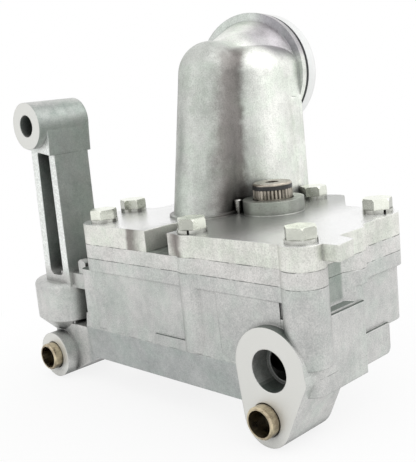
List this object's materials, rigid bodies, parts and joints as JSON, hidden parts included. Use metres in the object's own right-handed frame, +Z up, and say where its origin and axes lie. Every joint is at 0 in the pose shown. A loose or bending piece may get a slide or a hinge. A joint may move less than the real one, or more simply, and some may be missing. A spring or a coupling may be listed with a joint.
{
  "type": "engine oil pump",
  "caption": "Gear oil pump with a channel mounting arm, cast suction elbow, serrated shaft end and dowelled mounting face.",
  "frame": {"origin": "centre of the outlet port on the mounting face", "axes": "X along the block with the arm at the low end, Y away from the mounting face, Z up along the shafts"},
  "size_m": [0.178, 0.1058, 0.155],
  "materials": {
    "cast_aluminium": "as cast, machined faces",
    "plate_aluminium": "as cast",
    "cover_aluminium": "as cast",
    "zinc_steel": "zinc plated",
    "washer_steel": "zinc plated",
    "dowel_steel": "turned, oiled",
    "ground_steel": "ground",
    "shaft_steel": "turned",
    "gear_steel": "sintered",
    "bronze": "machined",
    "black_ring": "matt",
    "seal_rubber": "matt"
  },
  "bodies": {
    "housing": {"pump_body": "cast_aluminium", "separator_plate": "plate_aluminium", "top_cover": "cover_aluminium", "cover_bolts": "zinc_steel", "spring_washers": "washer_steel", "left_dowel_sleeve": "dowel_steel", "right_dowel_sleeve": "dowel_steel", "locating_pins": "ground_steel", "cover_post": "ground_steel", "neck_seal_ring": "seal_rubber", "upper_drive_bush": "bronze", "lower_drive_bush": "bronze", "upper_idler_bush": "bronze", "lower_idler_bush": "bronze"},
    "drive_rotor": {"drive_shaft": "shaft_steel", "drive_shaft_ring": "black_ring", "drive_gear": "gear_steel", "drive_gear_key": "ground_steel"},
    "driven_rotor": {"idler_shaft": "shaft_steel", "driven_gear": "gear_steel", "driven_gear_key": "ground_steel"}
  },
  "joints": [
    {"name": "drive_shaft_spin", "type": "hinge", "parent": "housing", "child": "drive_rotor", "pos_m": [-0.037, 0.052, 0], "axis": [0, 0, 1], "continuous": true},
    {"name": "idler_shaft_spin", "type": "hinge", "parent": "housing", "child": "driven_rotor", "pos_m": [-0.01102, 0.037, 0], "axis": [0, 0, 1], "continuous": true}
  ],
  "couplings": [
    {"joint": "idler_shaft_spin", "follows": "drive_shaft_spin", "ratio": -1}
  ]
}
